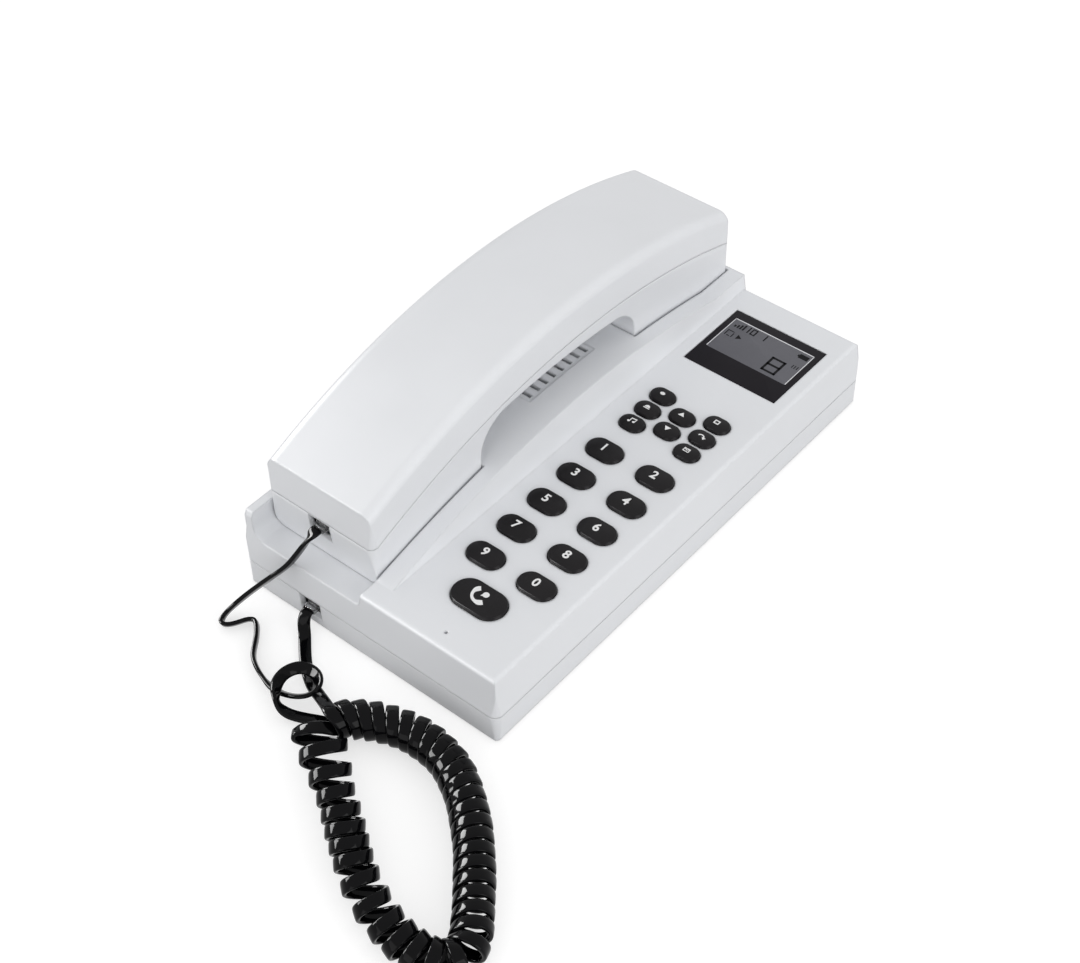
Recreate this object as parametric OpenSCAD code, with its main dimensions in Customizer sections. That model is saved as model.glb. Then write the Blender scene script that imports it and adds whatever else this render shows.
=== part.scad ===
// Corded desk phone with an arched handset in an open-ended cradle on the left and a keypad with a
// small display on the right. The base stands on four rubber feet. Millimetres, +Z up, the origin on
// the ground under the middle of the base, +Y towards the display end, +X towards the keypad side.

/* [Base] */
// Length of the base from the cord end to the display end
base_l = 208; // [200:1:224]
// Width of the base
base_w = 113; // [112:0.5:124]
// Height of the keypad panel above the ground
panel_z = 29; // [28.5:0.5:32]
// Height of the parting line between the upper and lower base shells
part_z = 12.3; // [12:0.1:13]
// Radius of the upright corners
corner_r = 3.5; // [2:0.5:5]
// How far the upper walls lean in between the parting line and the panel
upper_lean = 1.6; // [0.5:0.1:2]
// How far the lower walls lean in between the parting line and the underside
lower_lean = 0.5; // [0.2:0.1:1.5]
// Radius of the panel's outer edges
edge_r = 1.5; // [0.5:0.1:2]
// Thickness of the base shells
wall = 2.2; // [1.8:0.1:2.4]
// Height of the lower shell's underside above the ground
stand_h = 1; // [0.6:0.1:1.5]

/* [Cradle] */
// Height of the cradle's arched rim at its peak
rim_z = 42.3; // [41:0.1:44]
// Radius of the arched rim, seen from the side
rim_r = 400; // [380:10:460]
// Distance of the rim's peak from the handset's middle, towards the display end
rim_peak = 4.25; // [1:0.25:8]
// Height of the level stretches of the rim at its two ends
shelf_z = 35; // [34:0.5:36]
// Height of the two wells' floors
well_z = 24; // [23:0.1:25]
// Width of the rim's flat band on the keypad side
rim_w = 5.2; // [4:0.1:6]
// Run of the slope from the rim down to the keypad panel
slope_w = 2.2; // [1.5:0.1:3]
// Radius of the fillets along the wells' floors
well_r = 5; // [3:0.5:6]
// Thickness of the cradle's wall at the display end
end_w = 3; // [2.8:0.1:4]
// Gap between the cradle's walls and the handset where it is widest
cradle_gap = 0.1; // [0.1:0.1:0.6]
// Gap between the bridge's ends and the handset's cups
bridge_gap = 0.5; // [0.4:0.1:1]
// Gap between the cups and the wells' floors at rest
rest_gap = 0.3; // [0.2:0.1:0.5]

/* [Handset] */
// Length of the handset
handset_l = 195.5; // [192:0.5:196]
// Width of the handset at its parting line
handset_w = 48.6; // [47:0.1:50]
// Sideways place of the handset's centre line
handset_x = -27.3; // [-27.6:0.1:-27]
// Height of the handset's top at its peak
top_z = 77; // [76:0.5:79]
// Radius of the arched top, seen from the side
top_r = 262; // [256:1:270]
// Distance of the top's peak from the handset's middle, towards the display end
top_peak = 6.25; // [4:0.25:8]
// Depth of the parting line's peak below the top's peak
seam_drop = 14.1; // [13.5:0.1:15]
// Radius of the arched parting line
seam_r = 270; // [265:1:280]
// Thickness of the handle at its middle
handle_t = 18.7; // [18:0.1:19.5]
// Radius of the handle's arched underside
handle_r = 300; // [280:5:340]
// Length of the mouthpiece cup
mouth_cup_l = 54; // [52:0.5:56]
// Length of the earpiece cup
ear_cup_l = 57.5; // [56:0.5:59]
// Radius from the cups' inner faces into the handle
grip_r = 14; // [12:0.5:15]
// Thickness of the handset shells
handset_wall = 2; // [1.6:0.1:2.2]
// Radius of the top's long edges
handset_edge_r = 4; // [2:0.5:5]

/* [Keypad] */
// Length of a number key, across the phone
key_l = 14.4; // [13:0.2:15.4]
// Width of a number key, along the phone
key_w = 9.4; // [9:0.2:11]
// Spacing of the two columns of number keys
key_pitch_x = 21.8; // [20.5:0.1:23]
// Spacing of the rows of number keys
key_pitch_y = 15.8; // [14.5:0.1:16]
// Length of the call key
call_l = 21; // [20:0.5:24]
// Width of the call key
call_w = 12.4; // [12:0.2:14]
// Distance of the call key's middle from the cord end
call_inset = 24.7; // [23.5:0.1:25.5]
// Distance from the call key's middle to the lowest row of number keys
call_gap = 15.9; // [15:0.1:16.5]
// Length of a function key
small_l = 10; // [9:0.1:10.3]
// Width of a function key
small_w = 7.4; // [6.5:0.1:7.6]
// Spacing of the function keys' columns
small_pitch_x = 11.9; // [11.7:0.1:12.5]
// Spacing of the function keys within a column
small_pitch_y = 8.9; // [8.8:0.1:9.2]
// Distance from the highest row of number keys to the lowest function keys
small_gap = 16.8; // [15.5:0.1:18]
// Height of the keys above the panel
key_up = 1.6; // [1.2:0.1:2.2]
// Travel of every key
key_travel = 1.2; // [0.8:0.1:1.2]
// Gap between a key and the hole that it stands in
key_gap = 0.2; // [0.15:0.05:0.3]

/* [Display] */
// Width of the display window
window_w = 39.8; // [38:0.2:41]
// Length of the display window
window_l = 33.6; // [32:0.2:34]
// Distance of the window's middle from the display end
window_inset = 30.6; // [30:0.1:32]
// Thickness of the window
window_t = 1.2; // [1:0.1:1.4]

/* [Cord] */
// Diameter of the straight stretches of the handset cord
cord_d = 3.4; // [3:0.1:4]
// Outer diameter of the coiled stretch
coil_d = 12; // [11:0.1:12]

/* [Hidden] */
$fn = 64;

eps = 0.01;
far_off = 150;

// Base outline.
half_l = base_l / 2;
half_w = base_w / 2;
lean_rate = upper_lean / (panel_z - part_z);
floor_z = stand_h + wall;
panel_under = panel_z - wall;

// Handset outline.
handset_x0 = handset_x - handset_w / 2;
handset_x1 = handset_x + handset_w / 2;
handset_y1 = half_l - end_w + 0.5;
handset_y0 = handset_y1 - handset_l;
handset_y = handset_y1 - handset_l / 2;
mouth_cup_y = handset_y0 + mouth_cup_l;
ear_cup_y = handset_y1 - ear_cup_l;
cup_z = well_z + rest_gap;
upper_side_lean = 1 / 13;
lower_side_lean = 1.4 / 30;
end_lean = 1.6;
ring_depth = 50;
top_peak_y = handset_y + top_peak;
seam_z = top_z - seam_drop;
seam_peak_y = top_peak_y + 2;
seam_gap = 0.1;
handle_z = top_z - handle_t;
handle_peak_y = handset_y - 9.25;
cup_edge_r = 3.5;
grip_near_y = mouth_cup_y + grip_r;
grip_far_y = ear_cup_y - grip_r;

// Cradle outline, worked out from the handset that lies in it.
well_x0 = handset_x0 - cradle_gap;
well_x1 = handset_x1 + cradle_gap;
rim_x = well_x1 + rim_w;
foot_x = rim_x + slope_w;
bridge_y0 = mouth_cup_y + bridge_gap;
bridge_y1 = ear_cup_y - bridge_gap;
well_end_y = half_l - end_w;
rim_peak_y = handset_y + rim_peak;
shelf_start_y = ear_cup_y + 6;

// The keypad's centre line and its rows, from the cord end to the display end.
key_shift = 1.1;
key_x = (foot_x + half_w) / 2 - key_shift;
pad_shift = 0.7;
pad_x = key_x - pad_shift;
call_y = -half_l + call_inset;
key_row_y = call_y + call_gap;
small_row_y = key_row_y + 4 * key_pitch_y + small_gap;
window_y = half_l - window_inset;
microphone_y = -half_l + 7.7;

// Screws of the base: a post in each shell, the head sunk in the lower one.
screw_d = 3;
screw_head_d = 5.6;
screw_head_h = 2;
post_d = 7;
lower_post_d = 9;
sink_d = 6.2;
sink_z = stand_h + 4;
screw_fit = 0.05;
screw_reach = 6;
screw_inset_x = 9;
screw_inset_y = 14;
well_screw_inset = 4.2;
corner_screw_inset_x = 6;
corner_screw_inset_y = 7.5;
screw_places = [
    [well_x0 + well_screw_inset, -half_l + screw_inset_y],
    [half_w - screw_inset_x, -half_l + screw_inset_y],
    [well_x0 + well_screw_inset, half_l - screw_inset_y],
    [half_w - corner_screw_inset_x, half_l - corner_screw_inset_y]
];

// Rubber feet.
foot_d = 10;
foot_recess = 0.8;
foot_inset_x = 11;
foot_inset_y = 28;
foot_places = [for (sx = [-1, 1], sy = [-1, 1])
    [sx * (half_w - foot_inset_x), sy * (half_l - foot_inset_y)]];

// Key and board stack under the panel.
flange_t = 1;
flange_over = 1;
flange_z = panel_under - 0.1 - flange_t;
mat_t = 1.2;
mat_z = flange_z - key_travel - 0.2 - mat_t;
board_t = 1.6;
board_z = mat_z - 0.05 - board_t;
board_x0 = foot_x - 2;
board_x1 = half_w - upper_lean - wall - 0.4;
post_notch_d = post_d + 0.6;
board_margin_near = 4;
board_margin_far = 2;
board_y0 = call_y - call_w / 2 - board_margin_near;
board_y1 = window_y + window_l / 2 + board_margin_far;
board_post_d = 5;
board_post_inset = 6;
board_post_x0 = foot_x + 0.6;
board_post_x1 = half_w - board_post_inset;
board_post_ys = [key_row_y + key_pitch_y / 2, small_row_y + 3 * small_pitch_y + 2];
board_screw_d = 2.2;
board_screw_head_d = 4.4;
board_screw_head_h = 1.4;

// Speaker grille on the bridge.
slot_count = 8;
slot_pitch = 4.4;
slot_w = 1.6;
slot_l = 29;
grille_x = handset_x + 1.8;
grille_y = handset_y + 6.65;
grille_frame_w = slot_l + 3;
grille_frame_l = slot_pitch * (slot_count - 1) + slot_w + 3.6;
grille_recess = 0.4;
speaker_d = 34;
speaker_h = 8;
speaker_top_z = rim_z - wall - 0.8;
speaker_ring_t = 2;

// Hook switch in the earpiece cup's well.
hook_y = ear_cup_y + 8;
hook_d = 7;
hook_fit = 0.05;
hook_travel = 4;
hook_flange_d = 10;
hook_flange_t = 1;
hook_top_z = cup_z - 0.1;
hook_flange_z = well_z - wall - hook_travel - 0.2 - hook_flange_t;
hook_stem_d = 3;
hook_stem_z = floor_z + 5;
spring_d = 6;
spring_wire = 0.7;
spring_turns = 6;
spring_tube_d = 9;
spring_tube_h = 6;

// Board under the cradle.
line_board_z = floor_z + 5;
line_board_w = 44;
line_board_inset = 24;
line_board_x0 = handset_x - line_board_w / 2;
line_board_x1 = handset_x + line_board_w / 2;
line_board_y0 = -half_l + line_board_inset;
line_board_y1 = hook_y - spring_tube_d / 2 - 5.5;
line_post_d = 6;
line_post_inset = 4;

// Modular jacks and plugs of the handset cord.
plug_w = 7.65;
plug_h = 6.2;
plug_l = 10;
plug_fit = 0.1;
jack_w = 11;
jack_h = 8.6;
jack_l = 12;
latch_w = 3.2;
latch_t = 1.1;
port_w = 9.6;
port_h = 8;
crimp_w = 4.4;
crimp_t = 2.2;
plug_sink = 2.6;
plug_out = 0.8;
base_jack_x = handset_x + 1.3;
base_jack_z = part_z - port_h / 2 - 0.2;
base_plug_z = base_jack_z - latch_t / 2;
handset_jack_x = handset_x - 0.4;
handset_jack_z = cup_z + 12.8;
handset_plug_z = handset_jack_z + latch_t / 2;

// Sockets in the display end: a line socket and a power inlet, both in the lower shell's wall.
line_jack_w = 13.2;
line_jack_h = 11;
line_jack_l = 14;
line_socket_w = 9.8;
line_socket_h = 6.8;
line_socket_l = 10;
line_jack_side = 7;
line_jack_x = handset_x - line_jack_side;
power_w = 9;
power_h = 9;
power_l = 12;
power_bore_d = 5.6;
power_pin_d = 2;
power_side = 13;
power_x = handset_x + power_side;
inlet_z = floor_z + 0.1;
inlet_y = half_l - wall - lower_lean - 0.1;

// Parts inside the handset.
receiver_d = 36;
receiver_h = 7;
receiver_y = (ear_cup_y + handset_y1) / 2 - 2;
capsule_d = 9.7;
capsule_h = 5;
boot_d = 14;
capsule_y = (handset_y0 + mouth_cup_y) / 2 + 4;
weight_l = 46;
weight_w = 26;
weight_t = 6;
mouth_screw_inset = 6;
ear_screw_inset = 7.5;
handset_screw_ys = [mouth_cup_y - mouth_screw_inset, handset_y1 - ear_screw_inset];
handset_post_d = 6.4;
handset_tube_d = 9;
handset_sink_h = 4;
handset_post_z = cup_z + 9;

// Routes of the cord's three stretches, chosen by hand, from the handset plug round to the base plug.
handset_tail_points = [
    [handset_jack_x, handset_y0 - plug_out - 0.3, handset_plug_z],
    [handset_jack_x, handset_y0 - plug_out - 1.3, handset_plug_z],
    [handset_jack_x, handset_y0 - plug_out - 2.3, handset_plug_z],
    [-28.8, -100.4, 34], [-33.2, -104.8, 25], [-38.5, -109.4, 18.4], [-44.5, -114, 11],
    [-48.8, -118.5, 5], [-49.8, -122.6, 2.6], [-47.6, -125, 2.4], [-44.6, -123, 2.4],
    [-42.2, -118.6, 2.4], [-39.6, -117.4, 2.4], [-36.8, -120, 2.4], [-32.2, -125.4, 2.4],
    [-28, -129, 2.4], [-23, -131.4, 2.4], [-18, -132.8, 2.6], [-12.8, -132.2, 4]
];
base_tail_points = [
    [base_jack_x, -half_l - plug_out, base_plug_z],
    [base_jack_x, -half_l - plug_out - 0.8, base_plug_z],
    [base_jack_x, -half_l - plug_out - 1.6, base_plug_z],
    [-25.6, -108.6, 6], [-24, -110.6, 3.8], [-21.6, -112.6, 2.2], [-18, -116, 1.8],
    [-13.6, -119.6, 1.8], [-9, -122.6, 1.8], [-4.4, -124.9, 2.4], [0, -126.8, 4],
    [4.4, -128.4, 6.4], [8, -129.4, 8.4], [11, -130.2, 9.4]
];
coil_points = [
    [-11, -129], [-3, -134], [6.4, -138.2], [14.8, -141.4], [21.8, -146], [28.6, -151],
    [36.4, -155.2], [43.4, -159.6], [50.2, -164.6], [56, -168.4], [63, -172], [71.2, -175.6],
    [79, -177.8], [86.4, -178.8], [93.4, -178.4], [98.8, -175.6], [100.8, -170.6], [99.4, -166],
    [96.4, -161.4], [91.8, -155.6], [85.6, -148], [78.6, -140.6], [70.8, -133.8], [62.2, -127.8],
    [53, -123], [44, -120.4], [35, -120.2], [26.6, -122.2], [19.4, -125.6], [12, -131]
];

function mix(a, b, t) = a * (1 - t) + b * t;
function arc(cx, cy, r, a0, a1, n = 6) =
    [for (k = [0:n]) let (a = mix(a0, a1, k / n)) [cx + r * cos(a), cy + r * sin(a)]];
function at_z(points, z) = [for (p = points) [p[0], p[1], z]];

// One point of the smooth curve through a list of points, t from 0 to 1 in stretch k.
function pick(points, k) = points[max(0, min(len(points) - 1, k))];
function curve_point(points, k, t) =
    let (a = pick(points, k - 1), b = pick(points, k), c = pick(points, k + 1), d = pick(points, k + 2))
    b + t / 2 * ((c - a) + t * ((2 * a - 5 * b + 4 * c - d) + t * (3 * (b - c) + d - a)));
function smooth(points, steps) = concat(
    [for (k = [0:len(points) - 2], s = [0:steps - 1]) curve_point(points, k, s / steps)],
    [points[len(points) - 1]]
);
function unit(v) = v / norm(v);
function ring(points, k, r, sides) =
    let (
        along = unit(pick(points, k + 1) - pick(points, k - 1)),
        side = unit(cross([0, 0, 1], along)),
        up = cross(along, side)
    )
    [for (s = [0:sides - 1]) let (a = 360 * s / sides) points[k] + r * (cos(a) * side + sin(a) * up)];

// A round tube along a list of points, closed at both ends.
module tube(points, d, sides) {
    n = len(points);
    verts = [for (k = [0:n - 1]) each ring(points, k, d / 2, sides)];
    walls = [
        for (k = [0:n - 2], s = [0:sides - 1])
            let (a = k * sides + s, b = k * sides + (s + 1) % sides)
            each [[a, a + sides, b + sides], [a, b + sides, b]]
    ];
    first = [for (s = [0:sides - 1]) s];
    last = [for (s = [sides - 1:-1:0]) (n - 1) * sides + s];
    polyhedron(points = verts, faces = concat(walls, [first, last]), convexity = 10);
}

// Extrudes a side view (along Y, height) across the phone.
module across(x0, x1) {
    translate([x0, 0, 0]) rotate([90, 0, 90]) linear_extrude(x1 - x0) children();
}

// Extrudes an end view (across, height) along the phone.
module along(y0, y1) {
    translate([0, y1, 0]) rotate([90, 0, 0]) linear_extrude(y1 - y0) children();
}

// A cylinder that lies across the phone.
module roller(y, z, r, x0, x1, fn = 128) {
    translate([x0, y, z]) rotate([0, 90, 0]) cylinder(h = x1 - x0, r = r, $fn = fn);
}

module box(x0, x1, y0, y1, z0, z1) {
    translate([x0, y0, z0]) cube([x1 - x0, y1 - y0, z1 - z0]);
}

module rounded_rect(x0, x1, y0, y1, r) {
    translate([x0 + r, y0]) square([x1 - x0 - 2 * r, y1 - y0]);
    translate([x0, y0 + r]) square([x1 - x0, y1 - y0 - 2 * r]);
    for (x = [x0 + r, x1 - r], y = [y0 + r, y1 - r]) translate([x, y]) circle(r);
}

// A key's outline: a bar with round ends, across the phone.
module pill(l, w) {
    flat = l - w;
    square([flat, w], center = true);
    for (s = [-1, 1]) translate([s * flat / 2, 0]) circle(d = w);
}

// Side or end view of the base's walls below the panel, moved in by i.
function wall_profile(half, i, top) = concat(
    [[-half + lower_lean + i, stand_h + i], [half - lower_lean - i, stand_h + i], [half - i, part_z]],
    arc(half - upper_lean - i - edge_r, top - edge_r, edge_r, 0, 90),
    arc(-half + upper_lean + i + edge_r, top - edge_r, edge_r, 90, 180),
    [[-half + i, part_z]]
);

module base_plan(i) {
    linear_extrude(far_off) rounded_rect(-half_w + i, half_w - i, -half_l + i, half_l - i,
        max(corner_r - i, 0.8));
}

module keypad_block(i) {
    intersection() {
        base_plan(i);
        along(-half_l, half_l) polygon(wall_profile(half_w, i, panel_z - i));
        across(-half_w, half_w) polygon(wall_profile(half_l, i, panel_z - i));
    }
}

// The raised block that holds the handset, before its wells are cut.
module cradle_block(i) {
    side_x = -half_w + upper_lean + i;
    end_y = half_l - upper_lean - i;
    top = rim_z + 2;
    rise = slope_w / (rim_z - panel_z);
    intersection() {
        base_plan(i);
        along(-half_l, half_l) polygon([
            [side_x, part_z], [foot_x - i, part_z], [foot_x - i, panel_z - i],
            [rim_x - i - rise * (top - rim_z), top], [side_x, top]
        ]);
        across(-half_w, half_w) polygon([
            [-end_y, part_z], [end_y, part_z], [end_y, top], [-end_y + 6, top],
            [-end_y, shelf_z - 2 - i]
        ]);
        union() {
            roller(rim_peak_y, rim_z - rim_r, rim_r - i, -half_w, half_w, 256);
            box(-half_w, handset_x, -half_l, half_l, 0, shelf_z - i);
            box(-half_w, half_w, shelf_start_y, half_l, 0, shelf_z - i);
        }
    }
}

module base_solid(i) {
    keypad_block(i);
    cradle_block(i);
}

// One well of the cradle, grown by g on its sides and floor.
module well(y0, y1, g) {
    r = well_r + g;
    x0 = well_x0 - g;
    x1 = well_x1 + g;
    z0 = well_z - g;
    top = rim_z + 20;
    along(y0, y1) polygon(concat(
        [[x0, top]], arc(x0 + r, z0 + r, r, 180, 270), arc(x1 - 2 - g, z0 + 2 + g, 2 + g, 270, 360),
        [[x1, top]]
    ));
}

module wells(g) {
    well(-half_l - 5, bridge_y0 + g, g);
    well(bridge_y1 - g, well_end_y + g, g);
}

module drill(p, z0, z1, d) {
    translate([p[0], p[1], z0]) cylinder(h = z1 - z0, d = d);
}

module key_hole(x, y, l, w) {
    translate([x, y, panel_under - 1]) linear_extrude(wall + 3) pill(l + 2 * key_gap, w + 2 * key_gap);
}

// Places of the keys: number keys 1 to 9 and 0, two to a row, and the function keys by column and row.
function number_place(k) =
    [pad_x + (k % 2 - 0.5) * key_pitch_x, key_row_y + (4 - floor(k / 2)) * key_pitch_y];
function small_place(column, row) = [pad_x + column * small_pitch_x, small_row_y + row * small_pitch_y];
small_cells = [[-1, 2], [-1, 1], [-1, 0], [0, 1.5], [0, 0.5], [1, 2], [1, 1], [1, 0]];

module grille_slots() {
    for (k = [0:slot_count - 1]) {
        y = grille_y + (k - (slot_count - 1) / 2) * slot_pitch;
        box(grille_x - slot_l / 2, grille_x + slot_l / 2, y - slot_w / 2, y + slot_w / 2,
            rim_z - wall - 3, rim_z + 1);
    }
    difference() {
        box(grille_x - grille_frame_w / 2, grille_x + grille_frame_w / 2,
            grille_y - grille_frame_l / 2, grille_y + grille_frame_l / 2, rim_z - 3, rim_z + 1);
        roller(rim_peak_y, rim_z - rim_r, rim_r - grille_recess, -half_w, half_w, 256);
    }
}

module base_upper_shell() {
    color("whitesmoke") difference() {
        union() {
            difference() {
                base_solid(0);
                difference() {
                    base_solid(wall);
                    wells(wall);
                }
                wells(0);
            }
            for (p = screw_places)
                drill(p, part_z, (p[0] < 0 ? well_z : panel_z) - wall + 0.5, post_d);
            for (x = [board_post_x0, board_post_x1], y = board_post_ys)
                drill([x, y], board_z + board_t + 0.05, panel_under + 0.5, board_post_d);
            drill([key_x, microphone_y], panel_under - 3.4, panel_under + 0.5, 9);
            difference() {
                drill([grille_x, grille_y], speaker_top_z - speaker_h + 2, speaker_top_z + 1.4,
                    speaker_d + 2 * speaker_ring_t);
                drill([grille_x, grille_y], 0, speaker_top_z + 0.1, speaker_d + 0.2);
                drill([grille_x, grille_y], 0, rim_z, speaker_d - 2);
            }
        }
        box(-far_off, far_off, -far_off, far_off, -1, part_z);
        for (p = screw_places) drill(p, part_z - 1, part_z + screw_reach + 1, screw_d + 2 * screw_fit);
        for (x = [board_post_x0, board_post_x1], y = board_post_ys)
            drill([x, y], board_z, board_z + 5, board_screw_d + 2 * screw_fit);
        drill([key_x, microphone_y], panel_under - 4, panel_under, 6.2);
        drill([key_x, microphone_y], panel_under - 1, panel_z + 1, 1.2);
        for (k = [0:9]) key_hole(number_place(k)[0], number_place(k)[1], key_l, key_w);
        for (c = small_cells) key_hole(small_place(c[0], c[1])[0], small_place(c[0], c[1])[1],
            small_l, small_w);
        key_hole(pad_x, call_y, call_l, call_w);
        translate([key_x, window_y, panel_z - window_t])
            linear_extrude(wall + 1) square([window_w + 0.2, window_l + 0.2], center = true);
        translate([key_x, window_y, panel_under - 1])
            linear_extrude(wall + 2) square([window_w - 4, window_l - 4], center = true);
        drill([handset_x, hook_y], well_z - wall - 1, well_z + 1, hook_d + 2 * hook_fit);
        grille_slots();
    }
}

module base_lower_shell() {
    port_y = -half_l;
    color("gainsboro") difference() {
        union() {
            difference() {
                intersection() {
                    keypad_block(0);
                    box(-far_off, far_off, -far_off, far_off, 0, part_z - seam_gap);
                }
                keypad_block(wall);
            }
            for (p = screw_places) drill(p, stand_h + eps, part_z - seam_gap, lower_post_d);
            for (x = [line_board_x0 + line_post_inset, line_board_x1 - line_post_inset],
                 y = [line_board_y0 + line_post_inset, line_board_y1 - line_post_inset])
                drill([x, y], stand_h + 1, line_board_z, line_post_d);
            drill([handset_x, hook_y], stand_h + 1, floor_z + spring_tube_h, spring_tube_d);
        }
        for (p = screw_places) {
            drill(p, 0, sink_z, sink_d);
            drill(p, 0, part_z + 1, screw_d + 2 * screw_fit);
        }
        for (p = foot_places) drill(p, 0, stand_h + foot_recess, foot_d + 0.2);
        for (x = [line_board_x0 + line_post_inset, line_board_x1 - line_post_inset],
             y = [line_board_y0 + line_post_inset, line_board_y1 - line_post_inset])
            drill([x, y], line_board_z - 4, line_board_z + 1, board_screw_d + 2 * screw_fit);
        drill([handset_x, hook_y], floor_z, part_z, spring_d + 0.8);
        box(base_jack_x - port_w / 2, base_jack_x + port_w / 2, port_y - 2, port_y + wall + 1,
            base_jack_z - port_h / 2, base_jack_z + port_h / 2);
        box(line_jack_x - line_socket_w / 2 - 0.5, line_jack_x + line_socket_w / 2 + 0.5,
            half_l - wall - 1, half_l + 2, inlet_z + 1, part_z + 1);
        translate([power_x, half_l - wall - 1, inlet_z + power_h / 2])
            rotate([-90, 0, 0]) cylinder(h = wall + 4, d = power_bore_d + 1.4);
    }
}

module screw(p, z, length, d, head_d, head_h) {
    drill(p, z, z + length, d);
    difference() {
        drill(p, z - head_h, z, head_d);
        for (a = [0, 90]) translate([p[0], p[1], z - head_h]) rotate([0, 0, a])
            cube([head_d * 0.6, head_d * 0.14, head_h], center = true);
    }
}

module base_screws() {
    color("silver") for (p = screw_places)
        screw(p, sink_z - 0.05, part_z - sink_z + screw_reach, screw_d, screw_head_d, screw_head_h);
}

module rubber_feet() {
    color("dimgray") for (p = foot_places) drill(p, 0, stand_h + foot_recess - 0.05, foot_d);
}

module display_window() {
    color("black") translate([key_x, window_y, panel_z - window_t + 0.05])
        linear_extrude(window_t - 0.05) square([window_w, window_l], center = true);
}

module display_holder() {
    color("dimgray") translate([key_x, window_y, board_z + board_t + 0.05]) difference() {
        linear_extrude(panel_under - board_z - board_t - 0.15)
            square([window_w + 0.6, window_l], center = true);
        translate([0, 0, 1.2]) linear_extrude(10) square([window_w - 2.4, window_l - 2.4], center = true);
    }
}

module display_panel() {
    color("slategray") translate([key_x, window_y, board_z + board_t + 1.3])
        linear_extrude(panel_under - board_z - board_t - 1.4)
        square([window_w - 2.8, window_l - 2.8], center = true);
}

module keypad_mat() {
    color("gray") difference() {
        box(board_post_x0 + board_post_d / 2 + 0.4, board_post_x1 - board_post_d / 2 - 0.4,
            board_y0 + 1, small_row_y + 2.5 * small_pitch_y, mat_z, mat_z + mat_t);
        for (p = screw_places) drill(p, mat_z - 1, mat_z + 3, post_notch_d);
    }
}

module main_board() {
    color("darkgreen") difference() {
        box(board_x0, board_x1, board_y0, board_y1, board_z, board_z + board_t);
        for (x = [board_post_x0, board_post_x1], y = board_post_ys)
            drill([x, y], board_z - 1, board_z + 3, board_screw_d + 0.2);
        for (p = screw_places) drill(p, board_z - 1, board_z + 3, post_notch_d);
    }
}

module main_board_screws() {
    color("silver") for (x = [board_post_x0, board_post_x1], y = board_post_ys)
        screw([x, y], board_z - 0.05, board_t + 3, board_screw_d, board_screw_head_d, board_screw_head_h);
}

// A push key: a stem through the panel with a flange that keeps it in.
module push_key(p, l, w) {
    crown = 0.5;
    translate([p[0], p[1], flange_z]) {
        linear_extrude(flange_t) pill(l + 2 * flange_over, w + flange_over);
        linear_extrude(panel_z + key_up - crown - flange_z) pill(l, w);
        linear_extrude(panel_z + key_up - flange_z) pill(l - 1.6, w - 1.6);
    }
}

module number_key(k) {
    color("black") push_key(number_place(k), key_l, key_w);
}

module function_key(k) {
    color("black") push_key(small_place(small_cells[k][0], small_cells[k][1]), small_l, small_w);
}

module call_key() {
    color("black") push_key([pad_x, call_y], call_l, call_w);
}

module hook_plunger() {
    p = [handset_x, hook_y];
    color("white") {
        drill(p, hook_flange_z, hook_top_z, hook_d);
        drill(p, hook_flange_z, hook_flange_z + hook_flange_t, hook_flange_d);
        drill(p, hook_stem_z, hook_flange_z + eps, hook_stem_d);
    }
}

module hook_spring() {
    steps = 18;
    r = (spring_d - spring_wire) / 2;
    z0 = floor_z + spring_wire / 2 + 0.05;
    z1 = hook_flange_z - spring_wire / 2 - 0.05;
    n = spring_turns * steps;
    color("silver") tube([for (k = [0:n]) [handset_x + r * cos(360 * k / steps),
        hook_y + r * sin(360 * k / steps), mix(z0, z1, k / n)]], spring_wire, 8);
}

module hook_switch() {
    top = line_board_z + board_t;
    color("dimgray") {
        box(handset_x - 6, handset_x + 6, line_board_y1 - 8, line_board_y1 - 1.6, top, hook_flange_z - 1.2);
        box(handset_x - 2, handset_x + 2, line_board_y1 - 7.5, hook_y - spring_d / 2 - 0.6,
            hook_flange_z - 1.2 - eps, hook_flange_z - 0.8);
    }
}

module line_board() {
    color("darkgreen") difference() {
        box(line_board_x0, line_board_x1, line_board_y0, line_board_y1, line_board_z,
            line_board_z + board_t);
        for (x = [line_board_x0 + line_post_inset, line_board_x1 - line_post_inset],
             y = [line_board_y0 + line_post_inset, line_board_y1 - line_post_inset])
            drill([x, y], line_board_z - 1, line_board_z + 3, board_screw_d + 0.2);
    }
}

module line_board_screws() {
    color("silver")
        for (x = [line_board_x0 + line_post_inset, line_board_x1 - line_post_inset],
             y = [line_board_y0 + line_post_inset, line_board_y1 - line_post_inset])
            translate([0, 0, 2 * line_board_z + board_t]) mirror([0, 0, 1])
                screw([x, y], line_board_z - 0.05, board_t + 3, board_screw_d, board_screw_head_d,
                    board_screw_head_h);
}

module ringer_speaker() {
    p = [grille_x, grille_y];
    z0 = speaker_top_z - speaker_h;
    color("dimgray") {
        drill(p, speaker_top_z - 3, speaker_top_z, speaker_d);
        drill(p, z0, speaker_top_z - 3 + eps, speaker_d * 0.55);
    }
}

module base_microphone() {
    color("silver") drill([key_x, microphone_y], panel_under - 4.1, panel_under - 0.1, 6);
}

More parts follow.
